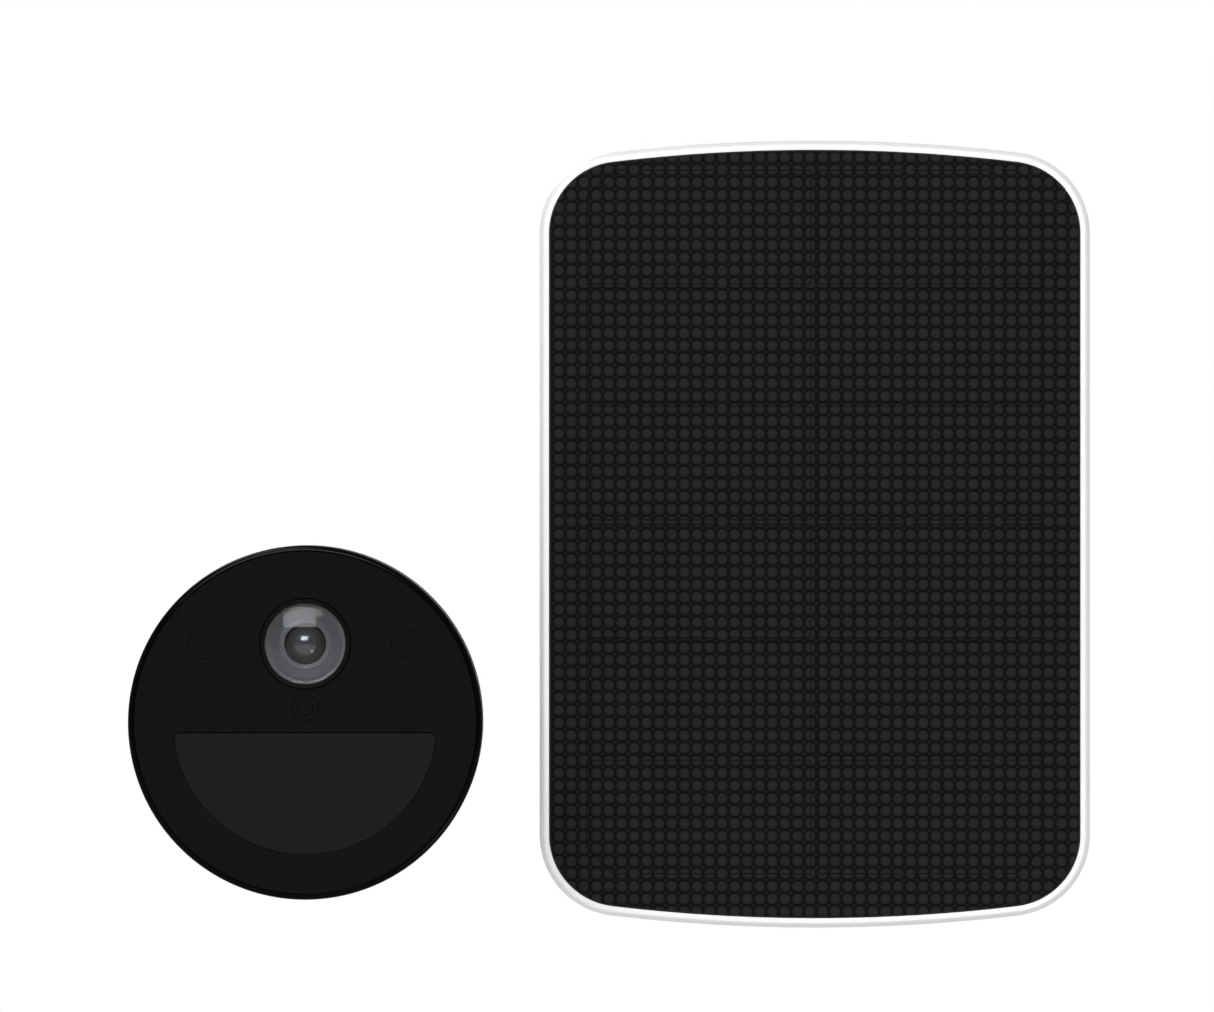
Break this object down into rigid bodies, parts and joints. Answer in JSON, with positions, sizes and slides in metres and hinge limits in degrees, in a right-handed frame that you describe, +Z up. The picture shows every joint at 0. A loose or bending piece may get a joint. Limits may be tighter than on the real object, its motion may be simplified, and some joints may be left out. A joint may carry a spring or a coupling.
{
  "type": "solar-powered security camera",
  "caption": "Round black battery security camera on a ball wall mount, with a bowed-edge solar panel in a white frame on its own swivel and tilt wall mount.",
  "frame": {"origin": "centre of the camera wall plate's back face, on the wall plane", "axes": "+X right as seen from in front, +Y into the wall, +Z up; the lens faces -Y"},
  "size_m": [0.2182, 0.168, 0.1794],
  "materials": {
    "mount_metal": "fine matt black powder coat",
    "steel": "turned and plated",
    "brass": "knurled insert",
    "body_plastic": "fine spark texture",
    "gloss_black": "polished",
    "face": "smooth dark window plate",
    "pir_window": "dark infrared-clear polyethylene",
    "lens_glass": "coated glass",
    "inner_plastic": "moulded",
    "rubber": "soft moulding",
    "filter_glass": "tinted",
    "circuit_board": "solder mask",
    "aluminium": "bare sheet",
    "cell_sleeve": "shrink sleeve over the can",
    "white_plastic": "satin moulding",
    "silicon": "dark single-crystal cells",
    "ribbon": "tinned strip",
    "textured_sheet": "embossed dome texture"
  },
  "bodies": {
    "base": {"camera_wall_plate": "mount_metal", "camera_stem": "mount_metal", "stem_screw": "steel", "swivel_set_screw": "steel", "panel_wall_plate": "white_plastic", "yoke_screw": "steel"},
    "camera_socket": {"camera_socket": "mount_metal"},
    "ball_stud": {"ball_stud": "steel"},
    "camera_lock_nut": {"camera_lock_nut": "body_plastic"},
    "battery": {"battery_case": "inner_plastic", "battery_cells": "cell_sleeve", "battery_cap": "body_plastic"},
    "battery_lock": {"battery_lock": "body_plastic"},
    "sync_button": {"sync_button": "body_plastic"},
    "port_cover": {"port_cover": "rubber"},
    "ir_cut_filter": {"ir_cut_filter": "filter_glass"},
    "panel_yoke": {"panel_yoke": "white_plastic", "tilt_nut": "steel"},
    "tilt_screw": {"tilt_screw": "white_plastic"},
    "panel_arm": {"panel_arm": "steel", "tilt_washers": "rubber"},
    "panel_lock_nut": {"panel_lock_nut": "white_plastic"},
    "panel": {"panel_back_cover": "white_plastic", "panel_insert": "brass", "panel_screws": "steel", "cable_gland": "white_plastic", "panel_frame": "white_plastic", "junction_board": "circuit_board", "solar_cells": "silicon", "cell_ribbons": "ribbon", "front_sheet": "textured_sheet"},
    "camera": {"housing": "body_plastic", "rear_cover": "body_plastic", "housing_screws": "steel", "threaded_insert": "brass", "battery_bay": "inner_plastic", "battery_contacts": "inner_plastic", "front_bezel": "gloss_black", "face_gasket": "rubber", "face_plate": "face", "lens_trim": "gloss_black", "lens_cover": "lens_glass", "lens_barrel": "inner_plastic", "lens_elements": "lens_glass", "lens_holder": "inner_plastic", "sensor_board": "circuit_board", "front_board": "circuit_board", "ir_windows": "face", "ir_leds": "filter_glass", "light_pipe": "face", "pir_lens": "pir_window", "pir_sensor": "steel", "mic_boot": "rubber", "main_board": "circuit_board", "heat_spreader": "aluminium", "wifi_antenna": "circuit_board", "ribbon_cable": "circuit_board", "speaker": "inner_plastic", "speaker_mesh": "aluminium", "charge_port": "steel"}
  },
  "joints": [
    {"name": "camera_mount_swivel", "type": "hinge", "parent": "base", "child": "camera_socket", "pos_m": [0, -0.058, 0], "axis": [0, -1, 0], "continuous": true},
    {"name": "camera_mount_tilt", "type": "hinge", "parent": "camera_socket", "child": "ball_stud", "pos_m": [0, -0.058, 0], "axis": [1, 0, 0], "range_deg": [-35, 90]},
    {"name": "camera_lock_nut_spin", "type": "hinge", "parent": "ball_stud", "child": "camera_lock_nut", "pos_m": [0, -0.079, 0], "axis": [0, -1, 0], "continuous": true},
    {"name": "camera_turn", "type": "hinge", "parent": "ball_stud", "child": "camera", "pos_m": [0, -0.086, 0], "axis": [0, -1, 0], "continuous": true},
    {"name": "battery_slide", "type": "slide", "parent": "camera", "child": "battery", "axis": [0, -1, 0], "range_m": [-0.066, 0]},
    {"name": "battery_lock_slide", "type": "slide", "parent": "battery", "child": "battery_lock", "axis": [0, 0, 1], "range_m": [0, 0.002]},
    {"name": "sync_button_press", "type": "slide", "parent": "camera", "child": "sync_button", "axis": [0, -1, 0], "range_m": [0, 0.0008], "stiffness_N_per_m": 400},
    {"name": "port_cover_hinge", "type": "hinge", "parent": "camera", "child": "port_cover", "pos_m": [-0.026, -0.0828, 0.0098], "axis": [1, 0, 0], "range_deg": [0, 110]},
    {"name": "ir_cut_slide", "type": "slide", "parent": "camera", "child": "ir_cut_filter", "axis": [1, 0, 0], "range_m": [0, 0.005]},
    {"name": "panel_mount_swivel", "type": "hinge", "parent": "base", "child": "panel_yoke", "pos_m": [0.1155, -0.02, 0.0425], "axis": [0, -1, 0], "continuous": true},
    {"name": "panel_mount_tilt", "type": "hinge", "parent": "panel_yoke", "child": "panel_arm", "pos_m": [0.1155, -0.05, 0.0425], "axis": [-1, 0, 0], "range_deg": [-35, 35]},
    {"name": "tilt_screw_spin", "type": "hinge", "parent": "panel_yoke", "child": "tilt_screw", "pos_m": [0.1155, -0.05, 0.0425], "axis": [1, 0, 0], "continuous": true},
    {"name": "panel_lock_nut_spin", "type": "hinge", "parent": "panel_arm", "child": "panel_lock_nut", "pos_m": [0.1155, -0.0615, 0.0425], "axis": [0, -1, 0], "continuous": true},
    {"name": "panel_turn", "type": "hinge", "parent": "panel_arm", "child": "panel", "pos_m": [0.1155, -0.071, 0.0425], "axis": [0, -1, 0], "continuous": true}
  ]
}
